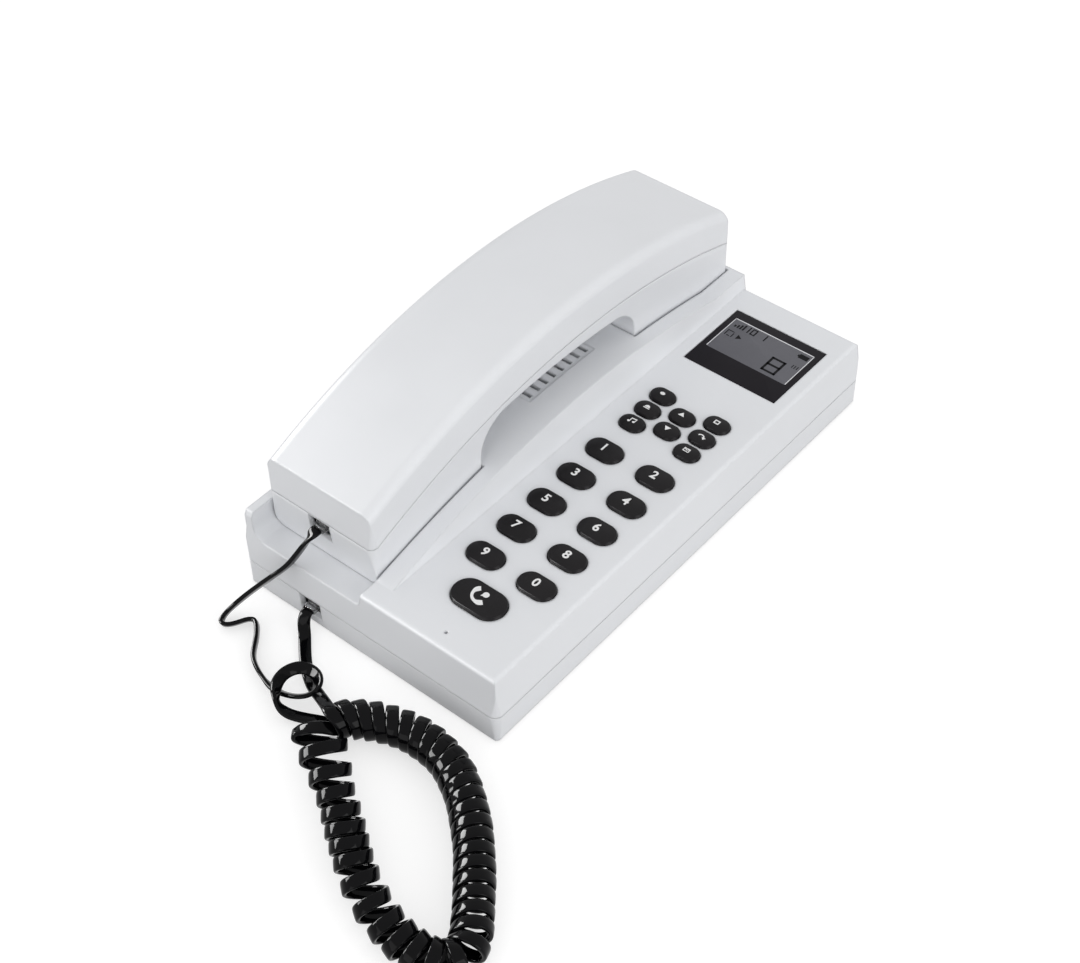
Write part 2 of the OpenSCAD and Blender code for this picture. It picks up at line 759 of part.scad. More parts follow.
// A modular jack whose mouth faces the cord end, around a plug that starts at plug_y. The latch
// groove is above (1) or below (-1).
module modular_jack(x, y, z, side, plug_y) {
    depth = plug_y + plug_l + plug_fit - y;
    color("dimgray") translate([x, y, z]) difference() {
        translate([-jack_w / 2, 0, -jack_h / 2]) cube([jack_w, jack_l, jack_h]);
        translate([-plug_w / 2 - plug_fit, -1, -plug_h / 2 - plug_fit])
            cube([plug_w + 2 * plug_fit, depth + 1, plug_h + 2 * plug_fit]);
        translate([0, depth / 2 - 1, side * plug_h / 2])
            cube([latch_w + 2 * plug_fit, depth, 2 * latch_t + 2 * plug_fit], center = true);
    }
}

// A modular plug with its latch and the crimped end of the cord.
module modular_plug(x, y, z, side, out) {
    color("lightgray") translate([x, y, z]) {
        translate([-plug_w / 2, 0, -plug_h / 2]) cube([plug_w, plug_l, plug_h]);
        translate([-latch_w / 2, 0.6, side > 0 ? plug_h / 2 - eps : -plug_h / 2 - latch_t + eps])
            cube([latch_w, plug_l - 2, latch_t]);
        translate([-crimp_w / 2, -out, -crimp_t / 2]) cube([crimp_w, out + 1, crimp_t]);
    }
}

module base_jack() {
    modular_jack(base_jack_x, -half_l + wall + 0.9, base_plug_z, 1, -half_l + plug_sink);
}

module base_plug() {
    modular_plug(base_jack_x, -half_l + plug_sink, base_plug_z, 1, plug_sink + plug_out);
}

module handset_jack() {
    modular_jack(handset_jack_x, handset_y0 + handset_wall + 1.2, handset_plug_z, -1,
        handset_y0 + plug_sink);
}

module handset_plug() {
    modular_plug(handset_jack_x, handset_y0 + plug_sink, handset_plug_z, -1, plug_sink + plug_out);
}

module line_jack() {
    mid_z = inlet_z + 1.2 + line_socket_h / 2;
    color("dimgray") difference() {
        box(line_jack_x - line_jack_w / 2, line_jack_x + line_jack_w / 2, inlet_y - line_jack_l,
            inlet_y, inlet_z, inlet_z + line_jack_h);
        box(line_jack_x - line_socket_w / 2, line_jack_x + line_socket_w / 2,
            inlet_y - line_socket_l, inlet_y + 1, mid_z - line_socket_h / 2, mid_z + line_socket_h / 2);
    }
}

module power_inlet() {
    mid_z = inlet_z + power_h / 2;
    color("black") {
        difference() {
            box(power_x - power_w / 2, power_x + power_w / 2, inlet_y - power_l, inlet_y, inlet_z,
                inlet_z + power_h);
            translate([power_x, inlet_y - power_l + 2, mid_z]) rotate([-90, 0, 0])
                cylinder(h = power_l, d = power_bore_d);
        }
        translate([power_x, inlet_y - power_l + 1.5, mid_z]) rotate([-90, 0, 0])
            cylinder(h = power_l - 3, d = power_pin_d);
    }
}

// The handset's sides, seen along its arch: widest at the parting line, round along the top edges.
module handset_ring(i) {
    widest_r = top_r - seam_drop;
    low_r = widest_r - ring_depth;
    top = top_r - i;
    x0 = handset_x0 + i;
    x1 = handset_x1 - i;
    lean = upper_side_lean * (top_r - widest_r);
    low = lower_side_lean * (widest_r - low_r);
    r = max(handset_edge_r - i, 1);
    section = concat(
        [[low_r, x1 - low], [low_r, x0 + low], [widest_r, x0]],
        [for (p = arc(x0 + lean + r, top - r, r, 180, 90)) [p[1], p[0]]],
        [for (p = arc(x1 - lean - r, top - r, r, 90, 0)) [p[1], p[0]]],
        [[widest_r, x1]]
    );
    translate([0, top_peak_y, top_z - top_r]) rotate([0, 90, 0])
        rotate_extrude($fn = 256) polygon([for (p = section) [p[0], p[1]]]);
}

// The space under the handle, between the two cups, grown by g.
module finger_gap(g) {
    x0 = handset_x0 - 5;
    x1 = handset_x1 + 5;
    centre_z = handle_z - handle_r;
    near_z = centre_z + sqrt(pow(handle_r, 2) - pow(grip_near_y - handle_peak_y, 2)) - grip_r;
    far_z = centre_z + sqrt(pow(handle_r, 2) - pow(grip_far_y - handle_peak_y, 2)) - grip_r;
    intersection() {
        roller(handle_peak_y, centre_z, handle_r + g, x0, x1, 256);
        box(x0, x1, grip_near_y, grip_far_y, 0, handle_z + g + 1);
    }
    roller(grip_near_y, near_z, grip_r + g, x0, x1, 64);
    roller(grip_far_y, far_z, grip_r + g, x0, x1, 64);
    box(x0, x1, mouth_cup_y - g, grip_near_y + eps, 0, near_z);
    box(x0, x1, grip_far_y - eps, ear_cup_y + g, 0, far_z);
}

// The whole handset's outer shape, moved in by i.
module handset_solid(i) {
    near_seam_z = top_z - top_r + sqrt(pow(top_r - seam_drop, 2) - pow(handset_y0 - top_peak_y, 2));
    far_seam_z = top_z - top_r + sqrt(pow(top_r - seam_drop, 2) - pow(handset_y1 - top_peak_y, 2));
    r = max(cup_edge_r - i, 1);
    x0 = handset_x0 + 1 + i;
    x1 = handset_x1 - 1 - i;
    difference() {
        intersection() {
            handset_ring(i);
            across(handset_x0, handset_x1) polygon([
                [handset_y0 + end_lean + i, cup_z + i], [handset_y1 - end_lean - i, cup_z + i],
                [handset_y1 - i, far_seam_z], [handset_y1 - 1 - i, far_seam_z + seam_drop],
                [handset_y1 - 1 - i, top_z + 1], [handset_y0 + 1 + i, top_z + 1],
                [handset_y0 + 1 + i, near_seam_z + seam_drop], [handset_y0 + i, near_seam_z]
            ]);
            linear_extrude(far_off) rounded_rect(handset_x0 + i, handset_x1 - i, handset_y0 + i,
                handset_y1 - i, max(corner_r - i, 0.8));
            along(handset_y0, handset_y1) polygon(concat(
                arc(x0 + r, cup_z + i + r, r, 180, 270), arc(x1 - r, cup_z + i + r, r, 270, 360),
                [[x1 + 1, cup_z + i + r + 8], [x1 + 1, top_z + 1], [x0 - 1, top_z + 1],
                 [x0 - 1, cup_z + i + r + 8]]
            ));
        }
        finger_gap(i);
    }
}

module seam_roller(gap) {
    roller(seam_peak_y, seam_z - seam_r, seam_r + gap, handset_x0 - 2, handset_x1 + 2, 256);
}

module handset_port() {
    box(handset_jack_x - port_w / 2, handset_jack_x + port_w / 2, handset_y0 - 3,
        handset_y0 + handset_wall + 1.4, handset_jack_z - port_h / 2, handset_jack_z + port_h / 2);
}

module handset_upper_shell() {
    color("whitesmoke") difference() {
        union() {
            difference() {
                handset_solid(0);
                handset_solid(handset_wall);
                seam_roller(seam_gap);
            }
            intersection() {
                handset_solid(1);
                union() for (y = handset_screw_ys)
                    drill([handset_x, y], handset_post_z, top_z, handset_post_d);
            }
        }
        for (y = handset_screw_ys)
            drill([handset_x, y], handset_post_z - 1, handset_post_z + 10, screw_d + 2 * screw_fit);
        handset_port();
    }
}

module handset_lower_shell() {
    color("gainsboro") difference() {
        union() {
            intersection() {
                difference() {
                    handset_solid(0);
                    handset_solid(handset_wall);
                }
                seam_roller(0);
            }
            for (y = handset_screw_ys)
                drill([handset_x, y], cup_z + eps, handset_post_z - 0.05, handset_tube_d);
        }
        for (y = handset_screw_ys) {
            drill([handset_x, y], cup_z - 1, cup_z + handset_sink_h, sink_d);
            drill([handset_x, y], cup_z - 1, handset_post_z + 1, screw_d + 2 * screw_fit);
        }
        for (a = [0:60:300], r = [0, 5, 10])
            drill([handset_x + r * cos(a), receiver_y + r * sin(a)], cup_z - 1, cup_z + 4, 2);
        box(handset_x - 3, handset_x + 3, capsule_y - 0.7, capsule_y + 0.7, cup_z - 1, cup_z + 4);
        handset_port();
    }
}

module handset_screws() {
    color("silver") for (y = handset_screw_ys)
        screw([handset_x, y], cup_z + handset_sink_h - 0.05, handset_post_z - cup_z, screw_d,
            screw_head_d, screw_head_h);
}

module earpiece_receiver() {
    p = [handset_x, receiver_y];
    z0 = cup_z + handset_wall + 0.05;
    color("dimgray") {
        drill(p, z0, z0 + 2.5, receiver_d);
        drill(p, z0, z0 + receiver_h, receiver_d * 0.6);
    }
}

module microphone_boot() {
    p = [handset_x, capsule_y];
    z0 = cup_z + handset_wall + 0.05;
    color("black") difference() {
        drill(p, z0, z0 + capsule_h + 1, boot_d);
        drill(p, z0 + 1, z0 + 20, capsule_d + 0.1);
        drill(p, z0 - 1, z0 + 2, 3);
    }
}

module handset_microphone() {
    z0 = cup_z + handset_wall + 1.1;
    color("silver") drill([handset_x, capsule_y], z0, z0 + capsule_h, capsule_d);
}

// The ballast bar lies on the handle's floor and is curved like it.
module handset_weight() {
    z = handle_z - handle_r;
    x0 = handset_x - weight_w / 2;
    x1 = handset_x + weight_w / 2;
    color("gray") intersection() {
        box(x0, x1, handle_peak_y - weight_l / 2, handle_peak_y + weight_l / 2, 0, top_z);
        difference() {
            roller(handle_peak_y, z, handle_r + handset_wall + 0.1 + weight_t, x0, x1, 256);
            roller(handle_peak_y, z, handle_r + handset_wall + 0.1, x0 - 1, x1 + 1, 256);
        }
    }
}

module handset_cord_tail() {
    color("black") tube(smooth(handset_tail_points, 2), cord_d, 8);
}

module base_cord_tail() {
    color("black") tube(smooth(base_tail_points, 2), cord_d, 8);
}

module cord_coil() {
    color("black") tube(at_z(coil_points, coil_d / 2 + 0.2), coil_d, 12);
}

base_upper_shell();
base_lower_shell();
base_screws();
rubber_feet();
display_window();
display_panel();
display_holder();
keypad_mat();
main_board();
main_board_screws();
number_key(0);  // key_1
number_key(1);  // key_2
number_key(2);  // key_3
number_key(3);  // key_4
number_key(4);  // key_5
number_key(5);  // key_6
number_key(6);  // key_7
number_key(7);  // key_8
number_key(8);  // key_9
number_key(9);  // key_0
call_key();
function_key(0);  // redial_key
function_key(1);  // ring_key
function_key(2);  // melody_key
function_key(3);  // up_key
function_key(4);  // down_key
function_key(5);  // menu_key
function_key(6);  // volume_key
function_key(7);  // ok_key
hook_plunger();
hook_spring();
hook_switch();
line_board();
line_board_screws();
ringer_speaker();
base_microphone();
base_jack();
line_jack();
power_inlet();
handset_upper_shell();
handset_lower_shell();
handset_screws();
earpiece_receiver();
handset_microphone();
microphone_boot();
handset_weight();
handset_jack();
handset_plug();
base_plug();
handset_cord_tail();
base_cord_tail();
cord_coil();
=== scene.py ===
import bpy
import numpy as np
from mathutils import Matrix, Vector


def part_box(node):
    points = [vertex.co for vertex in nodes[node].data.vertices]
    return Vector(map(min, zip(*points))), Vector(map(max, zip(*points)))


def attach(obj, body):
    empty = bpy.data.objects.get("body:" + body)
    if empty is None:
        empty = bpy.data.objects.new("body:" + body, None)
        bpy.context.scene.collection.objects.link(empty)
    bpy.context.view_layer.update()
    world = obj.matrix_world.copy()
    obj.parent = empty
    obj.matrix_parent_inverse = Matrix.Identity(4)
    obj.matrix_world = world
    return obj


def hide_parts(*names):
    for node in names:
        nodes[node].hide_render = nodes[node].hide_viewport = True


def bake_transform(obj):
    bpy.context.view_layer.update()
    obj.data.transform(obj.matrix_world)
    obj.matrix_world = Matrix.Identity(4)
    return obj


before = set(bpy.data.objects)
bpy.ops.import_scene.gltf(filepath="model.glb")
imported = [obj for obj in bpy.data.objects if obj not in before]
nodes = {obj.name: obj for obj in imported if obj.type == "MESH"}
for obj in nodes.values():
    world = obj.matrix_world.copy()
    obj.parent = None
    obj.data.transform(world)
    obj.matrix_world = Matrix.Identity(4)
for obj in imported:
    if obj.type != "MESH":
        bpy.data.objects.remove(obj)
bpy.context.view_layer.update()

# The camera stands in front of the phone's right corner and looks down on it at 45 degrees. It is
# turned a degree about its own axis.
MM = 0.001
AZIMUTH, ELEVATION, ROLL = np.radians([40.419, 45.258, -1.117])
LOOK_AT = np.array([3.846, -18.718, 20.0]) * MM
DISTANCE = 691.9 * MM
FOCAL, SENSOR = 66.258, 36.0
NEAREST, FURTHEST = 0.01, 20.0


def stand(thing, right, up, back, place):
    """Stands a camera or a lamp at a place, its own x, y and z along right, up and back."""
    placing = np.eye(4)
    placing[:3] = np.column_stack([right, up, back, place])
    thing.matrix_world = placing.T.tolist()
    bpy.context.scene.collection.objects.link(thing)


forward = np.array([-np.sin(AZIMUTH) * np.cos(ELEVATION), np.cos(AZIMUTH) * np.cos(ELEVATION),
                    -np.sin(ELEVATION)])
level_right = np.array([np.cos(AZIMUTH), np.sin(AZIMUTH), 0.0])
level_up = np.cross(level_right, forward)
right = level_right * np.cos(ROLL) + level_up * np.sin(ROLL)
up = level_up * np.cos(ROLL) - level_right * np.sin(ROLL)
camera = bpy.data.objects.new("camera", bpy.data.cameras.new("camera"))
camera.data.lens, camera.data.sensor_width, camera.data.sensor_fit = FOCAL, SENSOR, "HORIZONTAL"
camera.data.clip_start, camera.data.clip_end = NEAREST, FURTHEST
stand(camera, right, up, -forward, LOOK_AT - forward * DISTANCE)
bpy.context.scene.camera = camera


# The base stands on a flat lower shell of white moulded plastic with four screw towers. Its
# outside has the fine spark-eroded grain of the mould, and a satin sheen from it.
DRIFT_DETAIL, DRIFT_LOW, DRIFT_HIGH, ROUGH_DRIFT = 4.0, 0.3, 0.7, 0.15
PIT_DETAIL, PIT_DEPTH, EDGE_SAMPLES = 2.0, 0.05 * MM, 6


def dress(piece, material):
    piece.data.materials.clear()
    piece.data.materials.append(material)


def finish_of(name, colour, rough, tone=0.03, patch=45.0, grain=0.0, grain_size=0.3,
              soft_edge=0.0, metal=0.0, gloss=0.5, clear=0.0):
    """A finish on Object coordinates: colour and roughness drift with a noise of patch waves a metre,
    a second noise of grain_size millimetres raises the surface, and edges catch the light over
    soft_edge millimetres."""
    material = bpy.data.materials.new(name)
    material.use_nodes = True
    tree = material.node_tree
    link = tree.links.new
    shader = tree.nodes["Principled BSDF"]
    shader.inputs["Metallic"].default_value = metal
    shader.inputs["Specular IOR Level"].default_value = gloss
    shader.inputs["Transmission Weight"].default_value = clear
    where = tree.nodes.new("ShaderNodeTexCoord").outputs["Object"]
    drift = tree.nodes.new("ShaderNodeTexNoise")
    drift.inputs["Scale"].default_value = patch
    drift.inputs["Detail"].default_value = DRIFT_DETAIL
    link(where, drift.inputs["Vector"])
    ramp = tree.nodes.new("ShaderNodeValToRGB")
    darker, lighter = ramp.color_ramp.elements
    darker.position, lighter.position = DRIFT_LOW, DRIFT_HIGH
    darker.color = (*(np.array(colour) * (1 - tone)), 1)
    lighter.color = (*np.minimum(np.array(colour) * (1 + tone), 1), 1)
    link(drift.outputs["Fac"], ramp.inputs["Fac"])
    link(ramp.outputs["Color"], shader.inputs["Base Color"])
    wear = tree.nodes.new("ShaderNodeMapRange")
    wear.inputs["To Min"].default_value = rough * (1 - ROUGH_DRIFT)
    wear.inputs["To Max"].default_value = rough * (1 + ROUGH_DRIFT)
    link(drift.outputs["Fac"], wear.inputs["Value"])
    link(wear.outputs["Result"], shader.inputs["Roughness"])
    normal = None
    if soft_edge:
        rounding = tree.nodes.new("ShaderNodeBevel")
        rounding.samples = EDGE_SAMPLES
        rounding.inputs["Radius"].default_value = soft_edge * MM
        normal = rounding.outputs["Normal"]
    if grain:
        pits = tree.nodes.new("ShaderNodeTexNoise")
        pits.inputs["Scale"].default_value = 1 / (grain_size * MM)
        pits.inputs["Detail"].default_value = PIT_DETAIL
        link(where, pits.inputs["Vector"])
        raised = tree.nodes.new("ShaderNodeBump")
        raised.inputs["Strength"].default_value = grain
        raised.inputs["Distance"].default_value = PIT_DEPTH
        link(pits.outputs["Fac"], raised.inputs["Height"])
        if normal:
            link(normal, raised.inputs["Normal"])
        normal = raised.outputs["Normal"]
    if normal:
        link(normal, shader.inputs["Normal"])
    return material


shell_white = finish_of("shell_white", (0.745, 0.757, 0.78), 0.38, tone=0.012, patch=30, grain=0.14,
                        grain_size=0.35, soft_edge=1.1, gloss=0.34)
dress(nodes["base_lower_shell"], shell_white)

# Four feet of black rubber are pressed into shallow cups under the lower shell, and four
# zinc-plated screws nearer its ends draw the two shells together. The boards and the handset have
# screws of the same finish.
foot_rubber = finish_of("foot_rubber", (0.03, 0.03, 0.031), 0.75, tone=0.15, grain=0.5, grain_size=0.5,
                        soft_edge=0.4)
zinc = finish_of("zinc_plate", (0.56, 0.57, 0.58), 0.32, tone=0.12, patch=700, grain=0.15,
                 grain_size=0.2, metal=1.0)
dress(nodes["rubber_feet"], foot_rubber)
for name in ("base_screws", "main_board_screws", "line_board_screws", "handset_screws"):
    dress(nodes[name], zinc)

# Two boards of green laminate carry the circuit. The line board lies on the left under the cradle,
# the main board under the keys, and each is held by four screws.
laminate = finish_of("board_laminate", (0.02, 0.12, 0.05), 0.35, tone=0.4, patch=260, grain=0.4,
                     grain_size=0.9)
dress(nodes["line_board"], laminate)
dress(nodes["main_board"], laminate)

# The sockets are black moulded blocks: one for the handset cord at the base's near end, the line
# socket and the power inlet at its far end, and one in the handset.
socket_black = finish_of("socket_black", (0.012, 0.012, 0.013), 0.5, tone=0.2, grain=0.2, grain_size=0.4,
                         soft_edge=0.2)
for name in ("base_jack", "line_jack", "power_inlet", "handset_jack"):
    dress(nodes[name], socket_black)

# The hook is a white plunger on a steel spring. The handset's ear end holds it down on a small
# black switch.
hook_white = finish_of("hook_white", (0.72, 0.73, 0.75), 0.3, tone=0.02, grain=0.1, soft_edge=0.5)
spring_steel = finish_of("spring_steel", (0.5, 0.5, 0.52), 0.22, tone=0.08, patch=900, metal=1.0)
dress(nodes["hook_plunger"], hook_white)
dress(nodes["hook_spring"], spring_steel)
dress(nodes["hook_switch"], socket_black)

# The upper shell is one white moulding: the key panel on the right, the rim and the two wells of
# the cradle on the left, with a slotted grille on the bridge between the wells.
dress(nodes["base_upper_shell"], shell_white)

# Behind the grille sits a small black speaker with a paper cone. The microphone behind the
# pinhole at the near end is a small capsule whose face is covered in black felt, and the handset
# has its like.
cone_black = finish_of("speaker_cone", (0.02, 0.02, 0.021), 0.7, tone=0.2, grain=0.6, grain_size=0.5)
capsule_felt = finish_of("capsule_felt", (0.006, 0.006, 0.007), 0.95, tone=0.25, grain=0.8,
                         grain_size=0.3, gloss=0.05)
dress(nodes["ringer_speaker"], cone_black)
for name in ("base_microphone", "handset_microphone"):
    dress(nodes[name], capsule_felt)

# The display is a small glass panel in a white frame on the main board, under a black lacquered
# window that is let flush into the key panel. The field that shows is a thin grey sheet let into
# the window's top, with its figures printed on it and a painted highlight along its far edge and sides.
def add_piece(name, verts, faces, body=None, smooth=True):
    """A mesh object at the origin from vertices in millimetres, riding on a body of the model."""
    mesh = bpy.data.meshes.new(name)
    mesh.from_pydata((np.asarray(verts, float) * MM).tolist(), [], [list(f) for f in faces])
    mesh.validate()
    mesh.shade_smooth() if smooth else mesh.shade_flat()
    piece = bpy.data.objects.new(name, mesh)
    bpy.context.scene.collection.objects.link(piece)
    if body:
        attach(piece, body)
    return piece


OUTLINE_POINTS, SMALLEST_CORNER = 40, 0.02


def rounded_outline(length, width, corner, inset):
    """Rounded rectangles drawn inwards, one for each inset: corner centre + (corner - inset)
    (cos a, sin a), over the four quarters of a turn."""
    a = np.linspace(0, 2 * np.pi, OUTLINE_POINTS, endpoint=False) + np.pi / OUTLINE_POINTS
    r = np.maximum(corner - np.asarray(inset, float), SMALLEST_CORNER)[:, None]
    middles = np.stack([np.sign(np.cos(a)) * (length / 2 - corner),
                        np.sign(np.sin(a)) * (width / 2 - corner)], -1)
    return middles + r[:, :, None] * np.stack([np.cos(a), np.sin(a)], -1)


def skin(rings):
    """Vertices and faces of a closed skin through rings of points, an array of rings by points by
    three, with a flat face over the first ring and the last."""
    n, m = rings.shape[:2]
    i, j = np.meshgrid(np.arange(n - 1), np.arange(m), indexing="ij")
    k = (j + 1) % m
    walls = np.stack([i * m + j, i * m + k, (i + 1) * m + k, (i + 1) * m + j], -1).reshape(-1, 4)
    ends = [list(range(m))[::-1], list(range((n - 1) * m, n * m))]
    return rings.reshape(-1, 3), walls.tolist() + ends


def pressed_form(centre, length, width, corner, inset, height):
    """Rings of a form whose outline draws in by inset[k] at height[k]: the outline of the inset,
    moved to the centre and lifted to the height."""
    flat = rounded_outline(length, width, corner, inset) + np.asarray(centre, float)[:2]
    lift = np.broadcast_to(np.asarray(height, float)[:, None, None], flat.shape[:2] + (1,))
    return np.concatenate([flat, lift], -1)


frame_white = finish_of("display_frame", (0.7, 0.7, 0.7), 0.45, tone=0.03, grain=0.1)
glass_grey = finish_of("display_glass", (0.13, 0.13, 0.145), 0.45, tone=0.05, patch=60, grain=0.05,
                       grain_size=0.35, gloss=0.1)
lacquer = finish_of("window_lacquer", (0.008, 0.0065, 0.0095), 0.3, tone=0.1, patch=60, gloss=0.12)
# A pale finish for the painted highlight on the screen's edges, which stands for the light they catch.
edge_highlight = finish_of("display_edge", (0.72, 0.72, 0.74), 0.4, tone=0.1, patch=200, gloss=0.1)
segment_ink = finish_of("display_ink", (0.004, 0.004, 0.005), 0.35, tone=0.2, patch=200, gloss=0.1)
dress(nodes["display_holder"], frame_white)
dress(nodes["display_panel"], glass_grey)
low, high = np.array(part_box("display_window")) / MM
window_mid, window_size = (low + high) / 2, high - low
panel_z = high[2]
PANE_CORNER, PANE_EDGE = 0.9, 0.35
arc = np.linspace(0, np.pi / 2, 5)
pane_insets = np.concatenate([[0.0], PANE_EDGE - PANE_EDGE * np.cos(arc)])
pane_heights = np.concatenate([[low[2]], panel_z - PANE_EDGE + PANE_EDGE * np.sin(arc)])
window = add_piece("display_window_pane", *skin(pressed_form(
    window_mid, window_size[0], window_size[1], PANE_CORNER, pane_insets, pane_heights)), "base")
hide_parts("display_window")
dress(window, lacquer)

SCREEN_MIDDLE, SCREEN_SIZE = np.array([29.45, 76.5]), np.array([35.0, 19.2])
SCREEN_CORNER, SCREEN_PROUD, SCREEN_EDGE, SCREEN_DEPTH = 0.5, 0.03, 0.02, 0.2
screen_z = panel_z + SCREEN_PROUD
screen_left, screen_near = SCREEN_MIDDLE - SCREEN_SIZE / 2
screen_right, screen_far = SCREEN_MIDDLE + SCREEN_SIZE / 2
screen = add_piece("display_screen", *skin(pressed_form(
    SCREEN_MIDDLE, SCREEN_SIZE[0], SCREEN_SIZE[1], SCREEN_CORNER, [0, 0, 0.03],
    [panel_z - SCREEN_DEPTH, screen_z - SCREEN_EDGE, screen_z])), "base")
dress(screen, glass_grey)


def bar(start, stop, width):
    """The rectangle of this width about the line from start to stop, which it passes by width / 2."""
    start, stop = np.array(start, float), np.array(stop, float)
    ahead = (stop - start) / np.linalg.norm(stop - start)
    across = np.array([-ahead[1], ahead[0]]) * width / 2
    start, stop = start - ahead * width / 2, stop + ahead * width / 2
    return np.array([start - across, stop - across, stop + across, start + across])


PRINT_THICK = 0.12


def printed(name, shapes, body, material, surface, thick=PRINT_THICK):
    """A thin print, also used for the painted highlight on the screen's edges: each outline of points, put
    counter-clockwise by its signed area, becomes a prism from thick below the surface to thick above it."""
    verts, faces, first = [], [], 0
    for shape in shapes:
        n = len(shape)
        x, y = shape.T
        if x @ np.roll(y, -1) < y @ np.roll(x, -1):
            shape = shape[::-1]
        z = surface(shape[:, 0], shape[:, 1])
        for lift in (-thick, thick):
            verts.append(np.column_stack([shape, z + lift]))
        ring, after = np.arange(n), (np.arange(n) + 1) % n
        faces.append(list((first + ring)[::-1]))
        faces.append(list(first + n + ring))
        walls = [first + ring, first + after, first + n + after, first + n + ring]
        faces.extend(np.stack(walls, -1).tolist())
        first += 2 * n
    piece = add_piece(name, np.vstack(verts), faces, body, smooth=False)
    dress(piece, material)


def on_screen(x, y):
    return np.full(np.shape(x), screen_z)


SEGMENTS = {"0": "abcdef", "1": "bc", "8": "abcdefg"}


def seven_segments(digit, corner, size, width):
    """The bars of a seven-segment figure whose near left corner and size are given."""
    (x, y), (w, h) = corner, size
    ends = {"a": ((x, y + h), (x + w, y + h)), "b": ((x + w, y + h), (x + w, y + h / 2)),
            "c": ((x + w, y + h / 2), (x + w, y)), "d": ((x, y), (x + w, y)),
            "e": ((x, y), (x, y + h / 2)), "f": ((x, y + h / 2), (x, y + h)),
            "g": ((x, y + h / 2), (x + w, y + h / 2))}
    return [bar(*ends[s], width) for s in SEGMENTS[digit]]


# Pale bars painted along the screen's far edge and its two sides are a painted highlight: the light that
# those edges catch.
highlight_bars = [bar((screen_left + 0.3, screen_far - 0.25), (screen_right - 0.3, screen_far - 0.25), 0.42)]
highlight_bars += [bar((x, screen_far - 0.3), (x, screen_near + 0.4), 0.3)
               for x in (screen_left + 0.2, screen_right - 0.2)]
printed("display_edge_highlight", highlight_bars, "base", edge_highlight, on_screen, 0.02)
ink = seven_segments("8", (35.3, 69.0), (5.2, 7.4), 0.95)
for x, digit in ((18.0, "1"), (21.0, "0"), (25.4, "1")):
    ink += seven_segments(digit, (x, 81.8), (1.7, 2.9), 0.5)
signal_xs = 14.2 + 1.15 * np.arange(4)
ink += [bar((x, 82.0), (x, 82.4 + 0.7 * k), 0.7) for k, x in enumerate(signal_xs)]
battery = np.array([[42.0, 82.1], [45.9, 82.1], [45.9, 84.4], [42.0, 84.4]])
ink += [battery, bar((41.7, 83.0), (41.7, 83.5), 0.5)]
ink += [bar((13.6, 76.2), (13.6, 79.0), 0.4), bar((13.6, 79.0), (16.0, 79.0), 0.4),
        bar((16.4, 78.2), (16.4, 76.2), 0.4), bar((14.6, 76.2), (15.4, 76.2), 0.4),
        np.array([[18.2, 76.2], [20.2, 77.5], [18.2, 78.8]])]
ink += [bar((x, 76.2), (x, 77.6), 0.35) for x in 43.4 + 1.0 * np.arange(3)]
printed("display_figures", ink, "base", segment_ink, on_screen, 0.03)

# Nineteen keys are pills of black plastic with domed tops. They stand over one rubber mat that
# springs them back, and each is printed in white near its middle.
mat_rubber = finish_of("mat_rubber", (0.2, 0.2, 0.21), 0.8, tone=0.1, grain=0.3)
key_black = finish_of("key_black", (0.0085, 0.0075, 0.0085), 0.3, tone=0.15, patch=90, grain=0.1,
                      grain_size=0.3, gloss=0.16)
key_print = finish_of("key_print", (0.8, 0.8, 0.8), 0.5, tone=0.02, patch=400)
dress(nodes["keypad_mat"], mat_rubber)
KEY_EDGE, KEY_CROWN, KEY_DRAFT, KEY_BULGE = 0.6, 0.35, 0.12, 0.9
FLANGE_OUT, FLANGE_UP, KEY_SLIMMER = 0.5, 0.6, (2.0, 1.0)


def key_cap(name):
    """A pill with a flange at its foot, a rounded edge and a crown, which has risen by
    KEY_CROWN (1 - (1 - d / reach)^2) at a distance d inside that edge. Gives back its middle and
    the height of its top over any place."""
    low, high = np.array(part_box(name)) / MM
    middle, size = (low + high) / 2, high - low
    length, width, top = size[0] - KEY_SLIMMER[0], size[1] - KEY_SLIMMER[1], high[2]
    reach = width / 2 - KEY_EDGE
    inner = np.linspace(0.05, 0.93, 9) * reach
    rise = KEY_CROWN * (1 - (1 - inner / reach) ** 2)
    shoulder = top - KEY_CROWN
    bend = np.linspace(0, np.pi / 2, 6)
    edge = KEY_DRAFT + (KEY_EDGE - KEY_DRAFT) * (1 - np.cos(bend))
    edge_rise = shoulder - KEY_EDGE * KEY_BULGE + KEY_BULGE * KEY_EDGE * np.sin(bend)
    flange_z = low[2] + FLANGE_UP
    insets = np.concatenate([[-FLANGE_OUT, -FLANGE_OUT, 0, 0], edge, KEY_EDGE + inner])
    heights = np.concatenate([[low[2], flange_z, flange_z, shoulder - KEY_EDGE], edge_rise, shoulder + rise])
    form = pressed_form(middle, length, width, width / 2 - 0.01, insets, heights)
    cap = add_piece(name + "_top", *skin(form), name + "_cap")
    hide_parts(name)
    dress(cap, key_black)

    def crown(x, y):
        core = np.maximum(np.abs(x - middle[0]) - (length - width) / 2, 0)
        depth = np.clip(reach - np.hypot(core, y - middle[1]), 0, None) / reach
        return shoulder + KEY_CROWN * (1 - (1 - np.minimum(depth, 1)) ** 2)

    return middle[:2], crown


FIGURE_SIZE, FIGURE_BOLD, FIGURE_SHIFT = 5.0, 0.022, [-0.5, 0.5]


